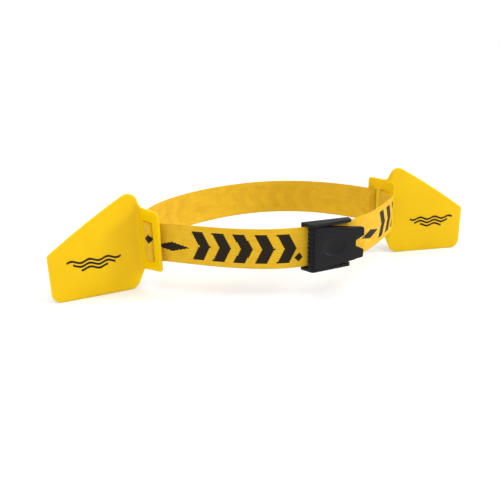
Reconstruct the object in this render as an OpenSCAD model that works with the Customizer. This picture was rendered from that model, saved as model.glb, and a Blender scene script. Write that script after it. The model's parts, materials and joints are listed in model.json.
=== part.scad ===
// Hip rotation training belt. A woven elastic belt closes at the front with a cam buckle and
// carries two identical moulded paddles, one over each hip. It stands on the paddles' lower edges.
// Millimetres, +Z up, +X along the widest way across the loop, -Y towards the buckle.

/* [Belt] */
// Width of the webbing
belt_w = 50; // [44:1:50]
// Thickness of the webbing
belt_t = 2; // [1.4:0.1:2.1]
// Height of the webbing's lower edge above the floor
belt_z = 42.5; // [38:0.5:46]
// How far the back of the loop reaches behind the origin
back_reach = 125.3; // [110:0.1:140]
// Length of the free end beyond the cam
tail_l = 46; // [30:1:50]

/* [Paddles] */
// Thickness of the moulding
sheet_t = 3; // [2.4:0.1:3.2]
// Width of the fin, from the fold to its outer edge
fin_w = 113.5; // [90:0.5:130]
// Height of the fin at the fold, before its corner is rounded
fin_inner_h = 132.5; // [122:0.5:150]
// Height of the fin's outer edge
fin_outer_h = 62.5; // [40:0.5:90]
// Length of the slotted hip plate, from the fold to its free edge
plate_l = 41; // [36:0.5:60]
// Height of the hip plate's lower edge above the floor
plate_low = 27; // [22:0.5:32]
// Height of the hip plate's upper edge above the floor
plate_high = 109; // [104:0.5:112]
// Angle that the sheet turns through at the fold
fold_turn = 68; // [60:1:80]
// Radius of the fold, at the middle of the sheet
fold_r = 9; // [6:0.5:10]
// Width of each slot for the webbing
slot_w = 5; // [5:0.1:5.4]
// Width of the bar between the slots
bar_w = 8; // [8:0.1:9]

/* [Buckle] */
// Length of the frame
frame_l = 61; // [58:0.5:66]
// Height of the frame across the webbing
frame_w = 59.5; // [59.5:0.5:64]
// Thickness of the frame's side walls
wall_t = 3.5; // [2.5:0.1:4]
// Thickness of the frame's base
base_t = 2.8; // [2:0.1:3]
// Distance of the lever's pivot from the frame's end
pivot_s = 10.5; // [10:0.5:14]
// Distance of the lever's pivot outward from the middle of the webbing
pivot_n = 7.3; // [7:0.1:8]
// Radius of the hinge pin
pin_r = 1.6; // [1.2:0.1:2]
// Length of the lever beyond its pivot
lever_l = 65.5; // [60:0.5:68]
// Width of the lever at its pivot
lever_w = 51.5; // [50:0.5:52]
// Width of the lever at its tip
lever_tip_w = 38; // [30:0.5:44]

/* [Hidden] */
$fn = 48;

belt_yellow = "#e8b62c";
paddle_yellow = "#ffd60a";
buckle_black = "#222226";

// Where the hardware sits: [x, y, heading of the webbing or hip plate]
left_place = [-176.5, 0, -63.5];
right_place = [178, -14, 101.5];
buckle_place = [-3, -112, -3];
back_middle = [10, back_reach];

// Paddle frame: x along the hip plate from the fold, y towards the wearer
fold_tangent = fold_r * tan(fold_turn / 2);
fold_half = fold_r * fold_turn * PI / 360; // half the fold's length along the sheet
trim = 200;        // larger than any paddle
bar_middle = 20;
slot_ends = [bar_middle - bar_w / 2 - slot_w, bar_middle + bar_w / 2];
pass_n = 3.3;      // middle of the webbing outside the bar
pass_end_n = 5;    // where the webbing leaves the hip plate on the wearer's side
pass_end_s = 10.5; // the same, along the plate from the middle of the bar
pass_angle = 32;   // and its angle to the plate there
slip = 0.15;       // half the gap that lets a paddle slide past the belt's own solids
slot_play = 0.5;   // gap above and below the webbing in a slot
lap = 0.05;        // overlap that joins the flat parts to the fold

// Buckle frame: x along the webbing, y outward from its middle
clear = 0.3;
base_n = -belt_t / 2 - clear;
wall_inner = frame_w / 2 - wall_t;
bar_r = 1.2;
bar_s = [frame_l - 8, frame_l - 4.5];
bar_n = base_n - base_t + bar_r;
wrap_r = bar_r + clear + belt_t / 2;
fold_layer_n = bar_n + wrap_r;
nip_s = pivot_s + 0.5;
tail_rise = 3.2;   // angle at which the free end climbs over the fold
cam_r = pivot_n - belt_t / 2 - clear;
tooth_h = 0.9;
root_r = cam_r - tooth_h;
sewn_gap = belt_t + clear;

function unit(a) = [cos(a), sin(a)];
function left_of(v) = [-v[1], v[0]];
function normalised(v) = v / norm(v);
function place_xy(place, s, n) =
    [place[0], place[1]] + s * unit(place[2]) + n * left_of(unit(place[2]));
function in_buckle(s, n) = place_xy(buckle_place, s, -n);

function bezier(c, steps) = [for (i = [0:steps]) let (t = i / steps, u = 1 - t)
    u * u * u * c[0] + 3 * u * u * t * c[1] + 3 * u * t * t * c[2] + t * t * t * c[3]];
function arc(centre, r, a0, a1, steps) =
    [for (i = [0:steps]) centre + r * unit(a0 + (a1 - a0) * i / steps)];
// A path without the points that repeat the one before
function joined(path) = [for (i = [0:len(path) - 1])
    if (i == 0 || norm(path[i] - path[max(i - 1, 0)]) > 0.01) path[i]];

function direction(path, i) =
    normalised(path[min(i + 1, len(path) - 1)] - path[max(i - 1, 0)]);
// Sideways step at a point. At an end, cut is the direction of the end edge, or undef for square.
function step_out(path, i, cut) = let (d = direction(path, i), n = left_of(d))
    cut == undef ? n : unit(cut) / (unit(cut) * n);
function edge(path, shift, cuts) = [for (i = [0:len(path) - 1])
    path[i] + shift * step_out(path, i, i == 0 ? cuts[0] : i == len(path) - 1 ? cuts[1] : undef)];
function reversed(path) = [for (i = [len(path) - 1:-1:0]) path[i]];
function ribbon(path, t, cuts) = concat(edge(path, t / 2, cuts), reversed(edge(path, -t / 2, cuts)));

// Outline with each corner rounded: corners are [x, y, radius]
function rounded(corners) = [for (i = [0:len(corners) - 1])
    let (n = len(corners), b = corners[i], a = corners[(i + n - 1) % n], c = corners[(i + 1) % n],
         p = [b[0], b[1]], u = normalised([a[0], a[1]] - p), v = normalised([c[0], c[1]] - p),
         half = acos(u * v) / 2, middle = p + normalised(u + v) * b[2] / sin(half),
         start = p + u * b[2] / tan(half) - middle, finish = p + v * b[2] / tan(half) - middle,
         a0 = atan2(start[1], start[0]), turn = atan2(finish[1], finish[0]) - a0,
         sweep = turn > 180 ? turn - 360 : turn < -180 ? turn + 360 : turn)
    each b[2] > 0 ? arc(middle, b[2], a0, a0 + sweep, 8) : [p]];

module on_paddle(place) {
    translate([place[0], place[1], 0])
        rotate([0, 0, place[2]])
            children();
}

// Puts the buckle frame's y outward. The buckle is the same both ways up.
module on_buckle() {
    translate([buckle_place[0], buckle_place[1], belt_z + belt_w / 2])
        rotate([0, 0, buckle_place[2]])
            rotate([180, 0, 0])
                children();
}

module webbing(path, cuts = [undef, undef]) {
    color(belt_yellow)
        translate([0, 0, belt_z])
            linear_extrude(belt_w)
                polygon(ribbon(joined(path), belt_t, cuts));
}

// The webbing meets each hip plate at two points, on the fold's side and on the free edge's side
near_fold = [bar_middle - pass_end_s, pass_end_n + slip];
near_edge = [bar_middle + pass_end_s, pass_end_n + slip];
function leaves(place, spot) = place_xy(place, spot[0], spot[1]);

module belt_back() {
    start = leaves(right_place, near_edge);
    finish = leaves(left_place, near_fold);
    webbing(concat(
        bezier([start, start + [-22, 44], back_middle + [88, 0], back_middle], 26),
        bezier([back_middle, back_middle - [95, 0], finish + [-11, 61], finish], 34)),
        [right_place[2], left_place[2]]);
}

module belt_front_left() {
    start = leaves(left_place, near_edge);
    webbing(concat(
        bezier([start, start + 36 * unit(left_place[2] + pass_angle), in_buckle(-67, 0),
                in_buckle(0, 0)], 30),
        [in_buckle(nip_s - slip, 0)]),
        [left_place[2], undef]);
}

// Folded round the frame's end bar and sewn to its own back, then on to the right-hand paddle
knee = [168.5, -37.5];
knee_heading = 44;
function folded_run() = bezier([in_buckle(bar_s[1] + 1, fold_layer_n),
    in_buckle(bar_s[1] + 1, fold_layer_n) + 34 * unit(15), knee - 38 * unit(knee_heading), knee], 24);

module belt_front_right() {
    finish = leaves(right_place, near_fold);
    run = folded_run();
    tab = [for (i = [8:-1:3]) run[i] + sewn_gap * left_of(direction(run, i))];
    wrap = [for (a = [270:-15:90]) in_buckle(bar_s[0] + wrap_r * cos(a), bar_n + wrap_r * sin(a))];
    into_slot = bezier([knee, knee + 9 * unit(knee_heading),
                        finish - 13 * unit(right_place[2] - pass_angle), finish], 12);
    webbing(concat(tab, [in_buckle(bar_s[1] + 1, bar_n - wrap_r)], wrap, run, into_slot),
            [undef, right_place[2]]);
}

// The end that is drawn through the buckle to tighten the belt
module belt_free_end() {
    rise = tan(tail_rise);
    webbing([in_buckle(nip_s + slip, 0), in_buckle(nip_s + tail_l, rise * tail_l)]);
}

// The webbing's way out through one slot, over the bar and back in through the other
module belt_pass(place) {
    inner = [pass_end_s, pass_end_n - slip];
    half = bezier([inner, inner - 7.5 * unit(pass_angle), [8, -pass_n], [3, -pass_n]], 12);
    on_paddle(place)
        webbing(concat([for (p = half) [bar_middle - p[0], p[1]]],
                       reversed([for (p = half) [bar_middle + p[0], p[1]]])), [0, 0]);
}

module left_belt_pass() {
    belt_pass(left_place);
}

module right_belt_pass() {
    belt_pass(right_place);
}

// Two rows of thread that hold the folded end, one raised stitch after another
module fold_stitching() {
    stitches = 9;
    stitch_r = 0.4;
    pitch = (belt_w - 5) / stitches;
    run = folded_run();
    color(paddle_yellow)
        for (i = [5, 7])
            for (k = [0:stitches - 1])
                translate(outside(run, i, belt_t / 2 + stitch_r + 0.05))
                    translate([0, 0, belt_z + 2.5 + (k + 0.1) * pitch])
                        cylinder(r = stitch_r, h = 0.8 * pitch, $fn = 16);
}

function outside(path, i, distance) = path[i] - distance * left_of(direction(path, i));

// The fin's sloping edge, from its top corner. A blunt corner in its middle bows it outward.
fin_edge = [4 - fin_w, fin_outer_h - fin_inner_h];
bow = 2.6;
bow_at = [-4, fin_inner_h] + fin_edge / 2 - bow * left_of(normalised(fin_edge));
bow_r = 0.15 * fin_edge * fin_edge / bow;

// The sheet laid flat: x along it from the middle of the fold, y its height
function sheet_outline() = rounded([
    [-4, fin_inner_h, 12], [bow_at[0], bow_at[1], bow_r], [-fin_w, fin_outer_h, 5],
    [-fin_w - 1, 0, 12], [-8, 0, 16], [3.5, plate_low, 5], [plate_l, plate_low + 4.5, 5],
    [plate_l, plate_high - 1.5, 5], [3.5, plate_high, 8]]);

module sheet_part(from, to) {
    intersection() {
        polygon(sheet_outline());
        translate([from, -1])
            square([to - from, trim]);
    }
}

// Local frame: x along the hip plate from the fold, y towards the wearer, z up
module paddle(place) {
    color(paddle_yellow)
        on_paddle(place)
            union() {
                fin();
                fold();
                hip_plate();
            }
}

module upright_sheet() {
    rotate([90, 0, 0])
        linear_extrude(sheet_t, center = true)
            children();
}

module fin() {
    rotate([0, 0, fold_turn])
        translate([fold_half - fold_tangent, 0, 0])
            upright_sheet()
                sheet_part(-trim, -fold_half + lap);
}

module fold() {
    across = 2 * fold_r * sin(fold_turn / 2) / (2 * fold_half);
    intersection() {
        translate([fold_tangent, -fold_r, 0])
            rotate([0, 0, 90])
                rotate_extrude(angle = fold_turn)
                    translate([fold_r - sheet_t / 2, 0])
                        square([sheet_t, trim]);
        rotate([0, 0, fold_turn / 2])
            rotate([90, 0, 0])
                linear_extrude(4 * fold_r, center = true)
                    polygon([for (p = sheet_outline()) [p[0] * across, p[1]]]);
    }
}

module hip_plate() {
    difference() {
        translate([fold_tangent - fold_half, 0, 0])
            upright_sheet()
                sheet_part(fold_half - lap, trim);
        for (s = slot_ends)
            translate([s, -sheet_t, belt_z - slot_play])
                cube([slot_w, 2 * sheet_t, belt_w + 2 * slot_play]);
    }
}

module left_paddle() {
    paddle(left_place);
}

module right_paddle() {
    paddle(right_place);
}

module buckle_frame() {
    base_l = bar_s[0] - wrap_r - belt_t - 2.5;
    color(buckle_black)
        on_buckle() {
            difference() {
                for (side = [-1, 1])
                    translate([0, 0, side * (frame_w - wall_t) / 2])
                        side_wall();
                translate([pivot_s, pivot_n, 0])
                    cylinder(r = pin_r + 0.02, h = frame_w + 1, center = true);
            }
            translate([0, base_n - base_t, -wall_inner - 0.1])
                cube([base_l, base_t, 2 * wall_inner + 0.2]);
            for (s = bar_s)
                translate([s, bar_n, 0])
                    cylinder(r = bar_r, h = 2 * wall_inner + 0.2, center = true);
            translate([bar_s[0], bar_n - bar_r, -wall_inner - 0.1])
                cube([bar_s[1] - bar_s[0], 2 * bar_r, 2 * wall_inner + 0.2]);
        }
}

// Low at the webbing's way in, highest just past the pivot, then tapering to the end bar
module side_wall() {
    back = base_n - base_t;
    linear_extrude(wall_t, center = true)
        polygon(rounded([[0, back, 0], [frame_l, back, 3], [frame_l, back + 10.4, 3],
                         [pivot_s - 2, back + 17.2, 5], [0, back + 2.5, 1]]));
}

// Local frame: the pivot is the origin, x towards the tip, y outward
module buckle_lever() {
    color(buckle_black)
        on_buckle()
            translate([pivot_s, pivot_n, 0])
                difference() {
                    union() {
                        lever_blade();
                        cam();
                    }
                    cylinder(r = pin_r + 0.05, h = frame_w, center = true);
                    thumb_recess();
                    thumb_notch();
                    underside_pockets();
                }
}

// Tapered in thickness and in width, with a lower lip at the tip
module lever_blade() {
    lip = lever_l - 11;
    intersection() {
        linear_extrude(lever_w, center = true)
            polygon([[0, -2], [8, -2.2], [lever_l, -1.6], [lever_l, 2.2], [lip + 0.6, 2.6],
                     [lip, 3.6], [4, cam_r], [0, cam_r]]);
        rotate([90, 0, 0])
            linear_extrude(4 * cam_r, center = true)
                polygon(rounded([[-cam_r, -lever_w / 2, 0], [12, -lever_w / 2, 0],
                                 [lever_l, -lever_tip_w / 2, 2], [lever_l, lever_tip_w / 2, 2],
                                 [12, lever_w / 2, 0], [-cam_r, lever_w / 2, 0]]));
    }
}

// Drum with rows of blunt teeth on the side that bites the webbing
module cam() {
    rows = 8;
    columns = 9;
    column_pitch = lever_w / columns;
    first_row = 100;
    row_step = 22;
    cylinder(r = root_r, h = lever_w, center = true);
    for (column = [0:columns - 1])
        translate([0, 0, (column - (columns - 1) / 2) * column_pitch])
            for (row = [0:rows - 1])
                rotate([0, 0, first_row + row * row_step])
                    translate([root_r - 0.3, 0, 0])
                        tooth(0.6 * column_pitch);
}

module tooth(width) {
    linear_extrude(width, center = true)
        polygon([[0, -1], [0.3 + tooth_h - 0.02, -0.3], [0.3 + tooth_h - 0.02, 0.3], [0, 1]]);
}

// Shallow oval dish for the thumb
module thumb_recess() {
    r = 11;
    reach = 4;
    translate([25, 9.2, 0])
        rotate([90, 0, 0])
            linear_extrude(5)
                polygon(concat(arc([reach, 0], r, -90, 90, 16), arc([-reach, 0], r, 90, 270, 16)));
}

// Flared cut in the tip, for a finger to lift the lever
module thumb_notch() {
    rotate([90, 0, 0])
        linear_extrude(4 * cam_r, center = true)
            polygon([[lever_l + 1, -9.5], [lever_l + 1, 9.5], [lever_l - 11, 4],
                     [lever_l - 11, -4]]);
}

// Hollows between the ribs on the lever's inner side
module underside_pockets() {
    bays = 3;
    bay_w = 11;
    for (bay = [0:bays - 1])
        translate([0, 0, (bay - 1) * (bay_w + 2)])
            linear_extrude(bay_w, center = true)
                polygon([[9, -4], [lever_l - 16, -4], [lever_l - 16, 0.6], [9, 2]]);
}

module lever_pin() {
    color("silver")
        on_buckle()
            translate([pivot_s, pivot_n, 0])
                cylinder(r = pin_r, h = frame_w - 0.6, center = true);
}

belt_back();
belt_front_left();
belt_front_right();
belt_free_end();
left_belt_pass();
right_belt_pass();
fold_stitching();
left_paddle();
right_paddle();
buckle_frame();
buckle_lever();
lever_pin();
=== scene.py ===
"""Hip rotation training belt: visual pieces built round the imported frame.

Lengths are in millimetres until mesh_object turns them into metres. A place in plan is a 2-D Vector.
"""
import json
import math

import bmesh
import bpy
from mathutils import Matrix, Vector


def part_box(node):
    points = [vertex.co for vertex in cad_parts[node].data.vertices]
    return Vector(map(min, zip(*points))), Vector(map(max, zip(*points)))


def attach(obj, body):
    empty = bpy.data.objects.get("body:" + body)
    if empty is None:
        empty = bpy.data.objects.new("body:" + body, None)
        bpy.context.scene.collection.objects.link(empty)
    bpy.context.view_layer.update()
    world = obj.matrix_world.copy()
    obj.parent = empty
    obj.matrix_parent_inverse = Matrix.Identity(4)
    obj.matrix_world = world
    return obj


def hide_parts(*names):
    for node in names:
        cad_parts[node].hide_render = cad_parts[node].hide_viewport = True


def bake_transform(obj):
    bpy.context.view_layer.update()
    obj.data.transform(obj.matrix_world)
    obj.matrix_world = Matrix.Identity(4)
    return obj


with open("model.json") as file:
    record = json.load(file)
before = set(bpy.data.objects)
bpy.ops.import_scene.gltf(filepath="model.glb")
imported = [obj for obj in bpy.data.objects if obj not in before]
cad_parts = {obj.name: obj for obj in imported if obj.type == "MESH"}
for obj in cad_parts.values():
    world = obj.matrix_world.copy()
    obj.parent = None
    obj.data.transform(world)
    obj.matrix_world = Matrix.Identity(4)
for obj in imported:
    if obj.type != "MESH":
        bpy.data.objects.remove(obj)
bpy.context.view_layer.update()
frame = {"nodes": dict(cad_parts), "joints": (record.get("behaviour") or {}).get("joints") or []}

MM = 0.001
JOINTS = {joint["name"]: joint for joint in frame["joints"]}

# Belt
BELT_T = 2.0
STRAP_STEP = 1.5  # between two cross-sections of the webbing
BELT_LOW, BELT_HIGH = (corner.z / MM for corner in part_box("belt_back"))
BELT_W = BELT_HIGH - BELT_LOW
BELT_MIDDLE = (BELT_LOW + BELT_HIGH) / 2
REPEAT = 215.0  # length of one repeat of the woven pattern

# Paddles
SHEET_T = 3.0
FOLD_R = 9.0
FOLD_TURN = math.radians(68)
FOLD_HALF = FOLD_R * FOLD_TURN / 2
FOLD_TANGENT = FOLD_R * math.tan(FOLD_TURN / 2)
BAR_MIDDLE, BAR_W, SLOT_W = 20.0, 8.0, 5.0
PLATE_MIDDLE = 68.0
RIDGE_W, RIDGE_REACH, RIDGE_CORNER, RIDGE_H = -FOLD_HALF - 0.5, 38.0, 7.0, 0.9
PASS_END = (10.5, 5.15)  # where the webbing leaves a hip plate, from the middle of its bar
PASS_TURN = 32  # degrees between the plate and the webbing that leaves it

# Buckle
FRAME_L, FRAME_W, WALL_T, BASE_T = 61.0, 59.5, 3.5, 2.8
PIVOT = (10.5, 7.3)
PIN_R = 1.6
LEVER_L, LEVER_W, LEVER_TIP_W = 65.5, 51.5, 38.0
CLEAR = 0.3
BASE_TOP = -BELT_T / 2 - CLEAR
BASE_BACK = BASE_TOP - BASE_T
BAR_R = 1.2
BAR_S = (FRAME_L - 8, FRAME_L - 4.5)
BAR_N = BASE_BACK + BAR_R
WRAP_R = BAR_R + CLEAR + BELT_T / 2
FOLD_LAYER_N = BAR_N + WRAP_R
NIP_S = PIVOT[0] + 0.5
CAM_R = PIVOT[1] - BELT_T / 2 - CLEAR
TOOTH_H = 0.9
TAIL_L, TAIL_RISE = 46.0, math.radians(3.2)
MOULDED_SHARP = 32  # degrees from which an edge of the buckle is drawn sharp


# ---------------------------------------------------------------- plan geometry

def unit(degrees):
    return Vector((math.cos(math.radians(degrees)), math.sin(math.radians(degrees))))


def left_of(v):
    return Vector((-v.y, v.x))


def heading(joint):
    axis = JOINTS[joint]["axis"]
    return math.degrees(math.atan2(axis[1], axis[0]))


class Place:
    """A spot in plan with a heading. at() steps along the heading and to its left."""

    def __init__(self, x, y, degrees):
        self.origin, self.degrees = Vector((x, y)), degrees

    def at(self, along, left=0.0):
        return self.origin + along * unit(self.degrees) + left * left_of(unit(self.degrees))

    def matrix(self, z=0.0):
        return Matrix.Translation((*self.origin, z)) @ Matrix.Rotation(math.radians(self.degrees), 4, "Z")


LEFT = Place(-176.5, 0, heading("left_paddle_slide"))
RIGHT = Place(178, -14, heading("right_paddle_slide"))
PIVOT_AT = Vector(JOINTS["lever_hinge"]["pos_m"][:2]) / MM
BUCKLE = Place(0, 0, heading("belt_adjust") + math.degrees(TAIL_RISE))
BUCKLE.origin = PIVOT_AT - (BUCKLE.at(PIVOT[0], -PIVOT[1]) - BUCKLE.origin)


def in_buckle(s, n):
    return BUCKLE.at(s, -n)


def bezier(a, b, c, d, steps):
    """Points on the cubic curve from a to d, with handles b and c."""
    out = []
    for i in range(steps + 1):
        t = i / steps
        u = 1 - t
        out.append(u ** 3 * a + 3 * u * u * t * b + 3 * u * t * t * c + t ** 3 * d)
    return out


def arc(centre, r, a0, a1, steps):
    return [Vector(centre) + r * unit(a0 + (a1 - a0) * i / steps) for i in range(steps + 1)]


def joined(*paths):
    """One path, without points that repeat the one before."""
    out = []
    for path in paths:
        for p in path:
            if not out or (p - out[-1]).length > 0.02:
                out.append(p)
    return out


def length_of(path):
    return sum((b - a).length for a, b in zip(path, path[1:]))


def resampled(path, step):
    """The path with points at equal distances of about step."""
    lengths = [0.0]
    for a, b in zip(path, path[1:]):
        lengths.append(lengths[-1] + (b - a).length)
    count = max(2, round(lengths[-1] / step))
    out, k = [], 0
    for i in range(count + 1):
        s = lengths[-1] * i / count
        while k < len(path) - 2 and lengths[k + 1] < s:
            k += 1
        span = lengths[k + 1] - lengths[k]
        out.append(path[k].lerp(path[k + 1], min(1.0, (s - lengths[k]) / span)))
    return out


def rounded(corners, steps=8):
    """Closed outline from (x, y, radius) corners."""
    out = []
    for i, (x, y, r) in enumerate(corners):
        p = Vector((x, y))
        if r == 0:
            out.append(p)
            continue
        u = (Vector(corners[i - 1][:2]) - p).normalized()
        v = (Vector(corners[(i + 1) % len(corners)][:2]) - p).normalized()
        half = math.acos(max(-1, min(1, u.dot(v)))) / 2
        middle = p + (u + v).normalized() * r / math.sin(half)
        start = p + u * r / math.tan(half) - middle
        turn = start.angle_signed(p + v * r / math.tan(half) - middle)
        a0 = math.degrees(math.atan2(start.y, start.x))
        out += arc(middle, r, a0, a0 - math.degrees(turn), steps)
    return out


# ---------------------------------------------------------------- meshes

def mesh_object(name, bm, matrix=None, smooth_angle=35):
    """A Blender object in metres from a bmesh in millimetres."""
    bmesh.ops.recalc_face_normals(bm, faces=bm.faces)
    mesh = bpy.data.meshes.new(name)
    bm.to_mesh(mesh)
    bm.free()
    mesh.transform(Matrix.Scale(MM, 4) @ (matrix or Matrix()))
    obj = bpy.data.objects.new(name, mesh)
    bpy.context.scene.collection.objects.link(obj)
    shade(obj, smooth_angle)
    return obj


def shade(obj, angle):
    obj.data.shade_smooth()
    obj.data.set_sharp_from_angle(angle=math.radians(angle))


def paint(obj, material):
    obj.data.materials.clear()
    obj.data.materials.append(material)


def finished(obj, material, bodies, node):
    """Gives a piece its material and its body; a piece given two bodies and a stretch between them is only
    baked in place. Hides its node.
    """
    paint(obj, material)
    if isinstance(bodies, str):
        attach(obj, bodies)
    else:
        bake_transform(obj)
    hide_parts(node)


def baked(obj):
    """The object with its modifiers applied."""
    graph = bpy.context.evaluated_depsgraph_get()
    mesh = bpy.data.meshes.new_from_object(obj.evaluated_get(graph), depsgraph=graph)
    obj.modifiers.clear()
    old = obj.data
    obj.data = mesh
    bpy.data.meshes.remove(old)
    return obj


def skin(bm, rings, capped=True):
    """Faces between rings with the same number of points, and over the first and the last ring."""
    for a, b in zip(rings, rings[1:]):
        for k in range(len(a)):
            j = (k + 1) % len(a)
            bm.faces.new((a[k], a[j], b[j], b[k]))
    if capped:
        bm.faces.new(rings[0])
        bm.faces.new(rings[-1])


def prism(outline, low, high, axis="Z"):
    """Closed bmesh: an outline in x, y drawn out along z, or one in x, z drawn out along y."""
    bm = bmesh.new()
    place = (lambda p, h: (p.x, p.y, h)) if axis == "Z" else (lambda p, h: (p.x, h, p.y))
    bottom = [bm.verts.new(place(p, low)) for p in outline]
    top = [bm.verts.new(place(p, high)) for p in outline]
    bm.faces.new(bottom)
    bm.faces.new(top)
    skin(bm, (bottom, top), capped=False)
    return bm


def part(bm):
    """An object that combined() uses up."""
    return mesh_object("tool", bm)


def combined(base, operation, *others):
    """base with the other objects added, cut away or kept in common. The others are used up."""
    for other in others:
        modifier = base.modifiers.new("combine", "BOOLEAN")
        modifier.operation = operation
        modifier.solver = "EXACT"
        modifier.object = other
    baked(base)
    for other in others:
        bpy.data.objects.remove(other)
    return base


def softened(obj, width):
    """Rounds the object's edges by width millimetres."""
    bm = bmesh.new()
    bm.from_mesh(obj.data)
    bmesh.ops.remove_doubles(bm, verts=bm.verts, dist=0.00001)
    bmesh.ops.dissolve_limit(bm, angle_limit=math.radians(1), verts=bm.verts, edges=bm.edges)
    bm.to_mesh(obj.data)
    bm.free()
    modifier = obj.modifiers.new("round", "BEVEL")
    modifier.width = width * MM
    modifier.segments = 3
    modifier.limit_method = "ANGLE"
    modifier.angle_limit = math.radians(28)
    modifier.use_clamp_overlap = True
    modifier.miter_outer = "MITER_ARC"
    baked(obj)
    shade(obj, MOULDED_SHARP)


# ---------------------------------------------------------------- materials

class Shader:
    """A material with a Principled shader and short calls for the nodes that feed it."""

    MIX_A, MIX_B, MIX_OUT = 6, 7, 2  # the colour sockets of a Mix node

    def __init__(self, name, roughness, **constants):
        self.material = bpy.data.materials.new(name)
        self.material.use_nodes = True
        self.tree = self.material.node_tree
        self.bsdf = self.tree.nodes["Principled BSDF"]
        self.bsdf.inputs["Roughness"].default_value = roughness
        for key, value in constants.items():
            self.bsdf.inputs[key.replace("_", " ")].default_value = value

    def node(self, kind, **settings):
        node = self.tree.nodes.new("ShaderNode" + kind)
        for key, value in settings.items():
            setattr(node, key, value)
        return node

    def feed(self, socket, value):
        if isinstance(value, bpy.types.NodeSocket):
            self.tree.links.new(value, socket)
        else:
            socket.default_value = value

    def math(self, operation, a, b=0.0, c=0.0, clamp=False):
        node = self.node("Math", operation=operation, use_clamp=clamp)
        for socket, value in zip(node.inputs, (a, b, c)):
            self.feed(socket, value)
        return node.outputs[0]

    def all_of(self, *masks):
        out = masks[0]
        for mask in masks[1:]:
            out = self.math("MULTIPLY", out, mask)
        return out

    def any_of(self, *masks):
        out = masks[0]
        for mask in masks[1:]:
            out = self.math("MAXIMUM", out, mask)
        return out

    def attribute(self, name):
        """The three parts of a stored vector."""
        source = self.node("Attribute", attribute_name=name)
        split = self.node("SeparateXYZ")
        self.tree.links.new(source.outputs["Vector"], split.inputs[0])
        return split.outputs[0], split.outputs[1], split.outputs[2]

    def vector(self, x, y, z=0.0):
        join = self.node("CombineXYZ")
        for socket, value in zip(join.inputs, (x, y, z)):
            self.feed(socket, value)
        return join.outputs[0]

    def noise(self, scale, detail=2.0, roughness=0.5, at=None):
        """Noise from 0 to 1. Without a place it follows the object, at scale per metre."""
        node = self.node("TexNoise")
        node.inputs["Scale"].default_value = scale
        node.inputs["Detail"].default_value = detail
        node.inputs["Roughness"].default_value = roughness
        if at is None:
            at = self.node("TexCoord").outputs["Object"]
        self.tree.links.new(at, node.inputs["Vector"])
        return node.outputs[0]

    def mixed(self, factor, a, b):
        node = self.node("Mix", data_type="RGBA")
        self.feed(node.inputs["Factor"], factor)
        self.feed(node.inputs[self.MIX_A], a)
        self.feed(node.inputs[self.MIX_B], b)
        return node.outputs[self.MIX_OUT]

    def bump(self, height, distance_mm, strength):
        node = self.node("Bump")
        node.inputs["Strength"].default_value = strength
        node.inputs["Distance"].default_value = distance_mm * MM
        self.tree.links.new(height, node.inputs["Height"])
        return node.outputs[0]

    def set(self, **sockets):
        for key, value in sockets.items():
            self.feed(self.bsdf.inputs[key.replace("_", " ")], value)
        return self.material


def colour(r, g, b):
    """Linear colour, with its alpha, from 0 to 255 display values."""
    shares = (c / 255 for c in (r, g, b))
    return tuple(((c + 0.055) / 1.055) ** 2.4 if c > 0.04 else c / 12.92 for c in shares) + (1.0,)


def stripes(sh, value, pitch):
    """0 to 1 and back once in each pitch."""
    turn = sh.math("MULTIPLY", value, 2 * math.pi / pitch)
    return sh.math("MULTIPLY_ADD", sh.math("SINE", turn), 0.5, 0.5)


def woven_pattern(sh, run, height):
    """Where the black yarn shows: chevrons, a long lozenge and two short ones, in steps of the weave."""
    weft, warp = 1.2, 2.4  # steps along and across the webbing
    x = sh.math("SNAP", sh.math("WRAP", run, 0.0, -REPEAT), weft)
    h = sh.math("SNAP", sh.math("SUBTRACT", height, BELT_W / 2 - warp / 2), warp)
    off = sh.math("ABSOLUTE", h)
    pitch, stroke, count, lean, first, reach = 26.0, 14.5, 5, 0.55, -126.0, 18.5
    along = sh.math("SUBTRACT", sh.math("MULTIPLY_ADD", off, lean, x), first)
    chevrons = sh.all_of(
        sh.math("LESS_THAN", sh.math("WRAP", along, pitch, 0.0), stroke),
        sh.math("GREATER_THAN", along, 0.0),
        sh.math("LESS_THAN", along, (count - 1) * pitch + stroke),
        sh.math("LESS_THAN", off, reach))
    fine = sh.math("SNAP", sh.math("SUBTRACT", height, BELT_W / 2), warp / 2)
    # (middle, height above the belt's middle, half length, half height)
    sizes = ((-162.5, -4.5, 23.5, 6.0), (-5.0, -12.5, 5.5, 5.5), (-193.5, 4.0, 6.2, 6.2))
    lozenges = []
    for middle, level, half_l, half_h in sizes:
        dx = sh.math("ABSOLUTE", sh.math("SUBTRACT", x, middle))
        dh = sh.math("ABSOLUTE", sh.math("SUBTRACT", fine, level))
        lozenges.append(sh.math("LESS_THAN", sh.math("MULTIPLY_ADD", dx, half_h / half_l, dh), half_h))
    return sh.any_of(chevrons, *lozenges)


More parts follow.
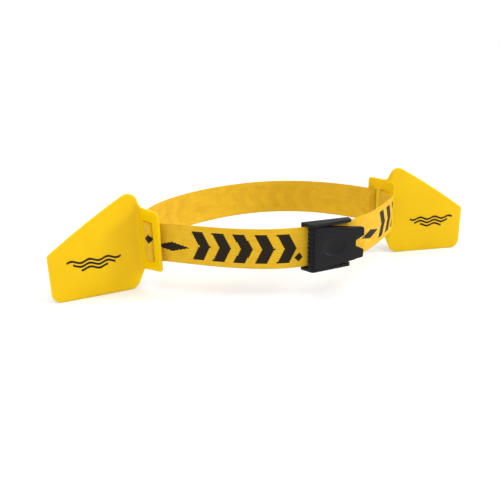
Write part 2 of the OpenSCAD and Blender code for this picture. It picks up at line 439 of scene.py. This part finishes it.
def webbing_material():
    """Elastic webbing: fine cross ribs and warp lines, black yarn outside and its faint ghost inside."""
    rib_pitch, line_pitch, line_slope, selvedge_w, face = 1.5, 1.35, 0.9, 1.3, 0.2
    sh = Shader("woven_webbing", 0.8, Sheen_Weight=0.06, Sheen_Roughness=0.5, Specular_IOR_Level=0.12)
    run, height, side = sh.attribute("strap")
    outside = sh.math("GREATER_THAN", side, face)
    black = woven_pattern(sh, run, height)
    flow = sh.vector(sh.math("MULTIPLY", run, 0.05), sh.math("MULTIPLY", height, 0.35))
    streaks = sh.noise(1.0, 5.0, 0.7, flow)
    patches = sh.noise(0.09, 3.0, 0.5, sh.vector(run, height, side))
    ribs = stripes(sh, run, rib_pitch)
    stepped = sh.math("SNAP", run, rib_pitch / 2)
    lines = stripes(sh, sh.math("MULTIPLY_ADD", stepped, line_slope, height), line_pitch)
    cloth = sh.mixed(sh.math("MULTIPLY_ADD", streaks, 1.5, -0.25, clamp=True),
                     colour(199, 148, 16), colour(226, 182, 34))
    cloth = sh.mixed(sh.math("MULTIPLY_ADD", patches, 0.9, -0.25, clamp=True), cloth, colour(232, 192, 46))
    # painted shade: the grooves between the cross ribs and the warp lines are darkened towards dark brown
    groove_shade = sh.math("MULTIPLY", sh.math("SUBTRACT", 1.0, ribs), sh.math("SUBTRACT", 1.0, lines))
    cloth = sh.mixed(sh.math("MULTIPLY", groove_shade, 0.45), cloth, colour(150, 100, 10))
    inside = sh.math("LESS_THAN", side, -face)
    ghost = sh.all_of(black, inside, sh.math("MULTIPLY_ADD", streaks, 0.5, -0.05))
    cloth = sh.mixed(ghost, cloth, colour(186, 134, 22))
    off_middle = sh.math("ABSOLUTE", sh.math("SUBTRACT", height, BELT_W / 2))
    selvedge = sh.math("GREATER_THAN", off_middle, BELT_W / 2 - selvedge_w)
    cloth = sh.mixed(sh.math("MULTIPLY", selvedge, 0.35), cloth, colour(182, 128, 14))
    # painted shade: the black yarn is drawn darker between the raised warp lines and lighter on them
    yarn = sh.mixed(lines, colour(20, 15, 10), colour(44, 34, 20))
    base = sh.mixed(sh.math("MULTIPLY", black, outside), cloth, yarn)
    relief = sh.math("MULTIPLY_ADD", ribs, 0.6, sh.math("MULTIPLY", lines, 0.4))
    return sh.set(Base_Color=base, Normal=sh.bump(relief, 0.25, 0.6))


def thread_material():
    """Twisted polyester thread."""
    sh = Shader("polyester_thread", 0.6, Sheen_Weight=0.3)
    twist = stripes(sh, sh.noise(900.0, 1.0), 0.2)
    # painted shade: the thread is drawn darker in the grooves of its twist and lighter on its ridges
    base = sh.mixed(twist, colour(190, 138, 16), colour(226, 180, 40))
    return sh.set(Base_Color=base, Normal=sh.bump(twist, 0.08, 0.5))


def paddle_material(name, marked_side, centre):
    """Satin yellow moulding, slightly translucent, with a printed mark of three waves on one side of the fin.

    centre is how far the mark's middle lies from the fold, along the sheet."""
    sh = Shader(name, 0.3, Subsurface_Weight=0.8, Subsurface_Scale=0.006, Subsurface_Radius=(1.0, 0.8, 0.25),
                IOR=1.48, Specular_IOR_Level=0.16)
    along, height, side = sh.attribute("sheet")
    cloud = sh.noise(16.0, 3.0, 0.55)
    grain = sh.noise(900.0, 2.0, 0.6)
    plastic = sh.mixed(sh.math("MULTIPLY_ADD", cloud, 1.4, -0.2, clamp=True),
                       colour(212, 177, 0), colour(220, 186, 0))
    # painted shade: the rounded edges and the slot walls are drawn in a deeper, darker orange than the flat
    # faces
    edge_shade = sh.math("LESS_THAN", sh.math("ABSOLUTE", side), SHEET_T / 2 - 0.12)
    plastic = sh.mixed(sh.math("MULTIPLY", edge_shade, 0.45), plastic, colour(214, 160, 4))
    # three waves, one above the other, each shorter than the one above
    wavelength, swing, gap, stroke, reach, first_level = 22.0, 1.7, 5.0, 1.5, 33.0, 49.5
    out = sh.math("SUBTRACT", sh.math("MULTIPLY", along, -1.0), centre)
    swell = sh.math("MULTIPLY", sh.math("SINE", sh.math("MULTIPLY", out, 2 * math.pi / wavelength)), swing)
    waves = []
    for i, share in enumerate((1.0, 0.78, 0.5)):
        level = sh.math("ADD", swell, first_level - i * gap)
        line = sh.math("LESS_THAN", sh.math("ABSOLUTE", sh.math("SUBTRACT", height, level)), stroke)
        waves.append(sh.all_of(line, sh.math("LESS_THAN", sh.math("ABSOLUTE", out), reach * share)))
    facing = sh.math("GREATER_THAN", sh.math("MULTIPLY", side, marked_side), SHEET_T / 2 - 0.05)
    ink = sh.math("MULTIPLY", sh.any_of(*waves), facing)
    base = sh.mixed(ink, plastic, colour(24, 22, 18))
    rough = sh.math("MULTIPLY_ADD", cloud, 0.14, 0.24)
    return sh.set(Base_Color=base, Roughness=rough, Normal=sh.bump(grain, 0.03, 0.35))


def buckle_material():
    """Black moulded plastic with a fine grain and slightly polished high spots."""
    sh = Shader("black_moulded_plastic", 0.38, Specular_IOR_Level=0.19)
    grain = sh.noise(1400.0, 3.0, 0.6)
    cloud = sh.noise(60.0, 4.0, 0.6)
    base = sh.mixed(cloud, colour(9, 9, 12), colour(18, 17, 21))
    rough = sh.math("MULTIPLY_ADD", cloud, 0.22, 0.32)
    return sh.set(Base_Color=base, Roughness=rough, Normal=sh.bump(grain, 0.05, 0.5))


def pin_material():
    """Drawn steel with fine scratches."""
    sh = Shader("drawn_steel", 0.3, Metallic=1.0)
    scratches = sh.noise(3000.0, 2.0)
    base = sh.mixed(scratches, colour(150, 150, 152), colour(205, 205, 207))
    return sh.set(Base_Color=base, Normal=sh.bump(scratches, 0.02, 0.4))


# ---------------------------------------------------------------- belt

def strap_section():
    """The webbing's cross-section as (height, outward), with rounded selvedges: up outside, down inside."""
    half, edge, rows, bends = BELT_T / 2, 0.9, 14, 4
    turns = [math.radians(90 * i / bends) for i in range(bends)]
    up = [(edge - edge * math.cos(a), half * math.sin(a)) for a in turns]
    flat = [(edge + (BELT_W - 2 * edge) * i / rows, half) for i in range(rows + 1)]
    down = [(BELT_W - h, n) for h, n in reversed(up)]
    outer = up + flat + down
    return outer + [(h, -n) for h, n in reversed(outer[1:-1])]


def strap(name, node, path, run_start, direction, bodies, material, sway=0.0):
    """A length of webbing along a plan path, whose left side faces the wearer when direction is 1.

    run_start is where it lies in the woven pattern, which counts up from the left paddle to the buckle.
    sway sets how far it waves where nothing holds it. The return is where it ends in the pattern."""
    ripple, ripple_run, cup = 0.35, 17.0, 0.25
    section = strap_section()
    points = resampled(path, STRAP_STEP)
    bm = bmesh.new()
    store = bm.verts.layers.float_vector.new("strap")
    rings, run = [], run_start
    for i, p in enumerate(points):
        if i:
            run += direction * (p - points[i - 1]).length
        ahead = (points[min(i + 1, len(points) - 1)] - points[max(i - 1, 0)]).normalized()
        outward = -direction * left_of(ahead)
        free = math.sin(math.pi * i / (len(points) - 1)) * sway
        ring = []
        for height, n in section:
            across = (height / BELT_W - 0.5) * 2
            wave = free * (ripple * math.sin(run / ripple_run) * across - cup * across * across)
            at = p + outward * (n + wave)
            vert = bm.verts.new((at.x, at.y, BELT_LOW + height))
            vert[store] = Vector((run, height, n))
            ring.append(vert)
        rings.append(ring)
    skin(bm, rings)
    obj = mesh_object(name, bm, smooth_angle=50)
    finished(obj, material, bodies, node)
    return run


def paddle_pass(place):
    """The webbing's way out through one slot, over the bar and back in, from the free edge to the fold."""
    end, bar_half, over_bar, handle = Vector(PASS_END), 3, -3.3, 5
    half = bezier(end, end - 7.5 * unit(PASS_TURN), Vector((bar_half + handle, over_bar)),
                  Vector((bar_half, over_bar)), 16)
    edge_side = [place.at(BAR_MIDDLE + p.x, p.y) for p in half]
    fold_side = [place.at(BAR_MIDDLE - p.x, p.y) for p in half]
    return joined(edge_side, reversed(fold_side))


def leaves(place, side):
    """Where the webbing leaves a hip plate: side is 1 past the free edge and -1 by the fold."""
    return place.at(BAR_MIDDLE + side * PASS_END[0], PASS_END[1])


def to_3d(p):
    return (p.x * MM, p.y * MM, BELT_MIDDLE * MM)


def make_belt(material, thread):
    """The whole strap. Each stretch between two bodies is given two points of its own path."""
    start = leaves(LEFT, 1)
    nip = in_buckle(NIP_S, 0)
    front = bezier(start, start + 36 * unit(LEFT.degrees + PASS_TURN), in_buckle(-67, 0), in_buckle(0, 0), 60)
    front = joined(front, [nip])
    steps, rise = 30, math.tan(TAIL_RISE)
    tail = [in_buckle(NIP_S + TAIL_L * i / steps, rise * TAIL_L * i / steps) for i in range(steps + 1)]
    run0 = NIP_S - length_of(front)
    strap("strap_front_left", "belt_front_left", front, run0, 1,
          ("left_hip_paddle", "belt", to_3d(front[2]), to_3d(front[26])), material, 0.5)
    strap("strap_free_end", "belt_free_end", tail, NIP_S, 1,
          ("belt", "free_end", to_3d(tail[1]), to_3d(tail[-1])), material)
    run = strap("strap_left_pass", "left_belt_pass", paddle_pass(LEFT), run0, -1, "left_hip_paddle", material)
    finish, begin = leaves(LEFT, -1), leaves(RIGHT, 1)
    middle = Vector((10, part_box("belt_back")[1].y / MM - BELT_T / 2))
    back_left = bezier(finish, finish + Vector((-11, 61)), middle - Vector((95, 0)), middle, 70)
    back_right = bezier(middle, middle + Vector((88, 0)), begin + Vector((-22, 44)), begin, 60)
    run = strap("strap_back_left", "belt_back", back_left, run, -1,
                ("left_hip_paddle", "belt", to_3d(back_left[2]), to_3d(back_left[28])), material, 0.6)
    run = strap("strap_back_right", "belt_back", back_right, run, -1,
                ("right_hip_paddle", "belt", to_3d(back_right[-3]), to_3d(back_right[-26])), material, 0.6)
    strap("strap_right_pass", "right_belt_pass", paddle_pass(RIGHT), run, -1, "right_hip_paddle", material)
    make_fixed_end(material, thread)


def make_fixed_end(material, thread):
    """From the sewn tab round the frame's end bar and on to the right-hand paddle."""
    knee, knee_heading, steps = Vector((168.5, -37.5)), 44, 24
    finish = leaves(RIGHT, -1)
    past_bar = BAR_S[1] + 1
    first = in_buckle(past_bar, FOLD_LAYER_N)
    run = bezier(first, first + 34 * unit(15), knee - 38 * unit(knee_heading), knee, steps)

    def beside(i, distance):
        ahead = (run[min(i + 1, steps)] - run[max(i - 1, 0)]).normalized()
        return run[i] + distance * left_of(ahead)

    tab = [beside(i, BELT_T + CLEAR) for i in range(8, 2, -1)]
    turns = [math.radians(a) for a in range(270, 75, -15)]
    wrap = [in_buckle(BAR_S[0] + WRAP_R * math.cos(a), BAR_N + WRAP_R * math.sin(a)) for a in turns]
    folded = joined(tab, [in_buckle(past_bar, BAR_N - WRAP_R)], wrap, run[:1])
    into_slot = bezier(knee, knee + 9 * unit(knee_heading),
                       finish - 13 * unit(RIGHT.degrees - PASS_TURN), finish, 14)
    path = joined(folded, run[1:], into_slot)
    strap("strap_fixed_end", "belt_front_right", path, -REPEAT - length_of(folded), 1,
          ("belt", "right_hip_paddle", to_3d(run[13]), to_3d(run[22])), material, 0.3)
    make_stitches(thread, beside)


def make_stitches(thread, beside):
    """Two rows of lockstitch through both layers, drawn on the outer face and on the tab."""
    stitches, sides, r, margin, gap, share = 14, 8, 0.42, 2.5, 0.12, 0.76
    pitch = (BELT_W - 2 * margin) / stitches
    bm = bmesh.new()
    for row in (5, 7):
        for face in (-BELT_T / 2, BELT_T * 1.5 + CLEAR):
            centre = beside(row, face)
            for k in range(stitches):
                low = BELT_LOW + margin + (k + gap) * pitch
                capsule(bm, centre, low, low + share * pitch, r, sides)
    finished(mesh_object("fold_seams", bm, smooth_angle=80), thread, "belt", "fold_stitching")


def capsule(bm, centre, low, high, r, sides):
    """An upright rod with domed ends."""
    levels = [(low, 0.45), (low + 0.35 * r, 0.85), (low + r, 1.0), ((low + high) / 2, 0.92),
              (high - r, 1.0), (high - 0.35 * r, 0.85), (high, 0.45)]
    rings = []
    for z, share in levels:
        ring = []
        for k in range(sides):
            p = centre + r * share * unit(360 * k / sides)
            ring.append(bm.verts.new((p.x, p.y, z)))
        rings.append(ring)
    skin(bm, rings)


# ---------------------------------------------------------------- paddles

def inset(outline, distance, inward):
    """The outline moved into the sheet. inward is 1 for an anticlockwise outer edge and -1 for a hole."""
    out = []
    count = len(outline)
    for i, p in enumerate(outline):
        a = (p - outline[i - 1]).normalized()
        b = (outline[(i + 1) % count] - p).normalized()
        middle = left_of((a + b).normalized())
        out.append(p + middle * inward * distance / max(0.5, middle.dot(left_of(a))))
    return out


def anticlockwise(outline):
    area = sum(a.x * b.y - b.x * a.y for a, b in zip(outline, outline[1:] + outline[:1]))
    return outline if area > 0 else outline[::-1]


def bent(w, side):
    """Plan place of a point at w along the flat sheet and side through it, after the sheet is folded."""
    if w >= FOLD_HALF:
        return Vector((w + FOLD_TANGENT - FOLD_HALF, side))
    turn = min(FOLD_TURN, (FOLD_HALF - w) / FOLD_R)
    beyond = max(0.0, -FOLD_HALF - w)
    r = FOLD_R + side
    return Vector((FOLD_TANGENT - r * math.sin(turn) - beyond * math.cos(turn),
                   -FOLD_R + r * math.cos(turn) - beyond * math.sin(turn)))


def ridge(w, height):
    """Height of the fine moulded line that runs round the foot of the hip plate, on the wearer's side."""
    spread = 1.1
    fade = min(1.0, max(0.0, (FOLD_HALF - w) / 2))
    across = max(0.0, RIDGE_W + RIDGE_CORNER - w)
    up = max(0.0, abs(height - PLATE_MIDDLE) - (RIDGE_REACH - RIDGE_CORNER))
    away = math.hypot(across, up) - RIDGE_CORNER
    return RIDGE_H * fade * math.exp(-(away / spread) ** 2)


def slice_fold(bm):
    """Cuts the flat sheet finely enough to fold it smoothly and to raise the ridge on it."""
    step, margin, rows = 0.45, 2.5, 24

    def cut(geom, at, along):
        bmesh.ops.bisect_plane(bm, geom=geom, dist=0.0001, plane_co=at, plane_no=along)

    for i in range(round((FOLD_HALF - RIDGE_W + margin) / step) + 1):
        cut(bm.verts[:] + bm.edges[:] + bm.faces[:], (FOLD_HALF - i * step, 0, 0), (1, 0, 0))
    for end in (-1, 1):
        for i in range(rows):
            height = PLATE_MIDDLE + end * (RIDGE_REACH + margin - i * step)
            near = [f for f in bm.faces if RIDGE_W - 3 < f.calc_center_median().x < FOLD_HALF]
            edges = {e for f in near for e in f.edges}
            verts = {v for f in near for v in f.verts}
            cut(list(verts) + list(edges) + near, (0, height, 0), (0, 1, 0))


def make_paddle(name, node, place, body, material):
    """One moulding: a flat sheet with rounded edges and two slots, folded between fin and hip plate."""
    top, outer, bow = Vector((-4, 132.5)), Vector((-113.5, 62.5)), 2.6
    edge = outer - top
    bow_at = (top + outer) / 2 - bow * left_of(edge.normalized())
    bow_r = 0.15 * edge.length_squared / bow
    fin = [(*top, 12), (*bow_at, bow_r), (*outer, 5), (-114.5, 0, 12), (-8, 0, 16)]
    plate = [(3.5, 27, 5), (41, 31.5, 5), (41, 107.5, 5), (3.5, 109, 8)]
    outline = anticlockwise(rounded(fin + plate, 12))
    shift = FOLD_HALF - FOLD_TANGENT
    low, high = BELT_LOW - 0.5, BELT_HIGH + 0.5
    edges = [(resampled_loop(outline, 4), 1)]
    for s in (BAR_MIDDLE - BAR_W / 2 - SLOT_W, BAR_MIDDLE + BAR_W / 2):
        s0, s1 = s + shift, s + SLOT_W + shift
        slot = [(s0, low, 1), (s0, high, 1), (s1, high, 1), (s1, low, 1)]
        edges.append((anticlockwise(rounded(slot, 4)), -1))
    edge_r, bends = 1.1, 4
    levels = []
    for i in range(-bends, bends + 1):
        a = math.radians(90 * i / bends)
        offset = (SHEET_T / 2 - edge_r) * (1 if i > 0 else -1 if i < 0 else 0)
        levels.append((edge_r * (1 - math.cos(a)), offset + edge_r * math.sin(a)))
    bm = bmesh.new()
    faces = {1: [], -1: []}
    for loop, inward in edges:
        rings = [[bm.verts.new((p.x, p.y, side)) for p in inset(loop, depth, inward)]
                 for depth, side in levels]
        skin(bm, rings, capped=False)
        count = len(loop)
        for side, ring in ((-1, rings[0]), (1, rings[-1])):
            faces[side] += [bm.edges.get((ring[k], ring[(k + 1) % count])) for k in range(count)]
    for side in (-1, 1):
        bmesh.ops.triangle_fill(bm, use_beauty=True, edges=faces[side], normal=(0, 0, side))
    slice_fold(bm)
    store = bm.verts.layers.float_vector.new("sheet")
    for v in bm.verts:
        w, height, side = v.co
        v[store] = Vector((w, height, side))
        p = bent(w, side + (ridge(w, height) if side > 0 else 0))
        v.co = (p.x, p.y, height)
    finished(mesh_object(name, bm, place.matrix(), smooth_angle=50), material, body, node)


def resampled_loop(outline, longest):
    """The outline with its long sides cut into shorter ones."""
    out = []
    for a, b in zip(outline, outline[1:] + outline[:1]):
        cuts = max(1, math.ceil((b - a).length / longest))
        out += [a.lerp(b, k / cuts) for k in range(cuts)]
    return out


# ---------------------------------------------------------------- buckle

def place_in_frame(obj, name, at=(0, 0)):
    """Moves a buckle part into the frame from its own space: x along the webbing, y outward, z across it."""
    place = BUCKLE.matrix(BELT_MIDDLE) @ Matrix.Rotation(math.pi, 4, "X")
    place.translation = place.translation * MM
    obj.data.transform(place @ Matrix.Translation((at[0] * MM, at[1] * MM, 0)))
    obj.name = obj.data.name = name


def rod(x, y, r, low, high, sides=48):
    return part(prism(arc((x, y), r, 0, 360 * (1 - 1 / sides), sides - 1), low, high))


def make_buckle_frame(material):
    """Base, two side walls and the end bar, with blind holes for the pin and hollows behind the base."""
    inner = FRAME_W / 2 - WALL_T
    wall = rounded([(0, BASE_BACK, 0), (FRAME_L, BASE_BACK, 3), (FRAME_L, BASE_BACK + 10.4, 3),
                    (PIVOT[0] - 2, BASE_BACK + 17.2, 5), (0, BASE_BACK + 2.5, 1)])
    walls = [part(prism(wall, side * inner, side * (inner + WALL_T))) for side in (-1, 1)]
    base_l = BAR_S[0] - WRAP_R - BELT_T - 2.5
    reach = inner + 0.5
    base = rounded([(0, BASE_BACK, 0), (base_l, BASE_BACK, 0), (base_l, BASE_TOP, 1), (0, BASE_TOP, 1)], 5)
    plate = part(prism(base, -reach, reach))
    s0, s1, n0, n1 = BAR_S[0] - BAR_R, BAR_S[1] + BAR_R, BAR_N - BAR_R, BAR_N + BAR_R
    corner = 0.999 * BAR_R
    bar = rounded([(s0, n0, corner), (s1, n0, corner), (s1, n1, corner), (s0, n1, corner)], 6)
    frame_obj = combined(walls[0], "UNION", walls[1], plate, part(prism(bar, -reach, reach)))
    cuts = [rod(PIVOT[0], PIVOT[1], PIN_R + 0.02, -FRAME_W / 2 + 0.2, FRAME_W / 2 - 0.2)]
    hollows, gap, margin, top = 4, 3.0, 6, BASE_BACK + 0.9
    pitch = (2 * inner - gap) / hollows
    pocket = rounded([(margin, BASE_BACK - 1, 0), (base_l - margin, BASE_BACK - 1, 0),
                      (base_l - margin, top, 0), (margin, top, 0)])
    for k in range(hollows):
        low = -inner + gap + k * pitch
        cuts.append(part(prism(pocket, low, low + pitch - gap)))
    combined(frame_obj, "DIFFERENCE", *cuts)
    softened(frame_obj, 0.45)
    place_in_frame(frame_obj, "buckle_body")
    finished(frame_obj, material, "belt", "buckle_frame")


def make_lever(material):
    """Cam and blade in one moulding, made round its pivot, with a thumb dish, a lower lip and a notch."""
    lip, beyond = LEVER_L - 11, 4 * CAM_R
    side = rounded([(0, -2, 0), (8, -2.2, 0), (LEVER_L, -1.6, 0), (LEVER_L, 2.2, 0), (lip + 0.6, 2.5, 0.3),
                    (lip, 3.6, 0.4), (4, CAM_R, 3), (0, CAM_R, 0)], 6)
    blade = part(prism(side, -LEVER_W / 2, LEVER_W / 2))
    top = rounded([(-CAM_R, -LEVER_W / 2, 0), (12, -LEVER_W / 2, 14), (LEVER_L, -LEVER_TIP_W / 2, 2.2),
                   (LEVER_L, LEVER_TIP_W / 2, 2.2), (12, LEVER_W / 2, 14), (-CAM_R, LEVER_W / 2, 0)])
    combined(blade, "INTERSECT", part(prism(top, -beyond, beyond, "Y")))
    root_r = CAM_R - TOOTH_H
    combined(blade, "UNION", rod(0, 0, root_r, -LEVER_W / 2, LEVER_W / 2, 64))
    notch = rounded([(LEVER_L + 1, -9.5, 0), (LEVER_L + 1, 9.5, 0), (lip, 3.4, 1.4), (lip, -3.4, 1.4)])
    cuts = [part(prism(notch, -beyond, beyond, "Y")), thumb_dish(),
            rod(0, 0, PIN_R + 0.05, -FRAME_W / 2, FRAME_W / 2)]
    bay_w, rib_w = 11, 2
    pocket = [Vector(p) for p in ((9, -4), (LEVER_L - 16, -4), (LEVER_L - 16, 0.6), (9, 2))]
    for bay in (-1, 0, 1):
        middle = bay * (bay_w + rib_w)
        cuts.append(part(prism(pocket, middle - bay_w / 2, middle + bay_w / 2)))
    combined(blade, "DIFFERENCE", *cuts)
    softened(blade, 0.75)
    add_teeth(blade, root_r)
    place_in_frame(blade, "lever_with_cam", PIVOT)
    finished(blade, material, "lever", "buckle_lever")


def thumb_dish():
    """A shallow oval hollow: part of a large flattened ball that dips into the lever's outer face."""
    bm = bmesh.new()
    bmesh.ops.create_uvsphere(bm, u_segments=72, v_segments=48, radius=1)
    middle, size = (25.5, 5.3, 0), (14.6, 2.3, 11.2)
    tilt = Matrix.Rotation(math.radians(-2.7), 4, "Z")
    bm.transform(Matrix.Translation(middle) @ tilt @ Matrix.Diagonal((*size, 1)))
    return part(bm)


def add_teeth(lever, root_r):
    """Rows of blunt teeth round the cam, joined to the lever's mesh."""
    rows, columns, first_row, row_step = 8, 9, 100, 22
    # levels of a tooth as (height, half its width, share of the pitch)
    shape = ((-0.3, 1.0, 0.62), (0.55, 0.62, 0.5), (TOOTH_H - 0.05, 0.3, 0.34))
    pitch = LEVER_W / columns
    bm = bmesh.new()
    for column in range(columns):
        z = (column - (columns - 1) / 2) * pitch
        for row in range(rows):
            turn = Matrix.Rotation(math.radians(first_row + row * row_step), 4, "Z")
            rings = []
            for height, across, wide in shape:
                ring = []
                for sx, sz in ((-1, -1), (1, -1), (1, 1), (-1, 1)):
                    at = turn @ Vector((root_r + height, sx * across, z + sz * wide * pitch / 2))
                    ring.append(bm.verts.new(at * MM))
                rings.append(ring)
            skin(bm, rings)
    bmesh.ops.recalc_face_normals(bm, faces=bm.faces)
    bm.from_mesh(lever.data)
    bm.to_mesh(lever.data)
    bm.free()
    shade(lever, MOULDED_SHARP)


# ---------------------------------------------------------------- stage, light and camera

def make_stage():
    """A pale floor, 24 metres each way."""
    value, half_size = 0.72, 12000
    sh = Shader("pale_floor", 0.9, Specular_IOR_Level=0.1)
    tone = sh.mixed(sh.noise(3.0, 2.0), (value,) * 3 + (1,), (value + 0.01,) * 3 + (1,))
    bm = bmesh.new()
    bmesh.ops.create_grid(bm, x_segments=24, y_segments=24, size=half_size)
    floor = mesh_object("studio_floor", bm)
    floor.data.materials.append(sh.set(Base_Color=tone))


def soft_sun(name, power, spread, towards):
    """A sun spread over some degrees of sky, in a direction seen from the object."""
    data = bpy.data.lights.new(name, "SUN")
    data.energy = power
    data.angle = math.radians(spread)
    lamp = bpy.data.objects.new(name, data)
    lamp.rotation_euler = Vector(towards).to_track_quat("Z", "Y").to_euler()
    bpy.context.scene.collection.objects.link(lamp)


def make_light():
    """A wide soft light overhead, a smaller one from the right and a weak one from the left.

    The camera sees the surroundings brighter than they light the object, so that they are white."""
    seen, lighting = 1.0, 0.68
    world = bpy.data.worlds.new("studio")
    world.use_nodes = True
    tree = world.node_tree
    background = tree.nodes["Background"]
    background.inputs["Color"].default_value = (1, 1, 1, 1)
    path = tree.nodes.new("ShaderNodeLightPath")
    strength = tree.nodes.new("ShaderNodeMath")
    strength.operation = "MULTIPLY_ADD"
    tree.links.new(path.outputs["Is Camera Ray"], strength.inputs[0])
    strength.inputs[1].default_value = seen - lighting
    strength.inputs[2].default_value = lighting
    tree.links.new(strength.outputs[0], background.inputs["Strength"])
    bpy.context.scene.world = world
    soft_sun("overhead", 2.3, 70, (0.1, -0.15, 1))
    soft_sun("key", 1.75, 16, (62, -31, 31))
    soft_sun("fill", 0.7, 60, (-1, -0.2, 0.5))
    bpy.context.scene.view_settings.view_transform = "Standard"
    bpy.context.scene.view_settings.look = "None"


def make_camera():
    """The photograph's viewing angle: the camera's place in metres, its turn, tilt and roll in radians."""
    place, turn, down, roll = (-0.2681, -0.6794, 0.2957), 0.338, 0.354, -0.024
    ahead = Vector((math.sin(turn) * math.cos(down), math.cos(turn) * math.cos(down), -math.sin(down)))
    level = Vector((math.cos(turn), -math.sin(turn), 0))
    upright = level.cross(ahead)
    right = level * math.cos(roll) + upright * math.sin(roll)
    up = upright * math.cos(roll) - level * math.sin(roll)
    data = bpy.data.cameras.new("camera")
    data.sensor_width = 36
    data.lens = 40.25
    data.clip_start, data.clip_end = 0.05, 60
    camera = bpy.data.objects.new("camera", data)
    camera.matrix_world = Matrix.Translation(place) @ Matrix((right, up, -ahead)).transposed().to_4x4()
    bpy.context.scene.collection.objects.link(camera)
    bpy.context.scene.camera = camera


def main():
    make_camera()
    make_light()
    make_stage()
    webbing, thread, black = webbing_material(), thread_material(), buckle_material()
    make_belt(webbing, thread)
    make_paddle("left_moulding", "left_paddle", LEFT, "left_hip_paddle",
                paddle_material("yellow_plastic_left", -1, 59.0))
    make_paddle("right_moulding", "right_paddle", RIGHT, "right_hip_paddle",
                paddle_material("yellow_plastic_right", 1, 66.5))
    make_buckle_frame(black)
    make_lever(black)
    paint(frame["nodes"]["lever_pin"], pin_material())


main()
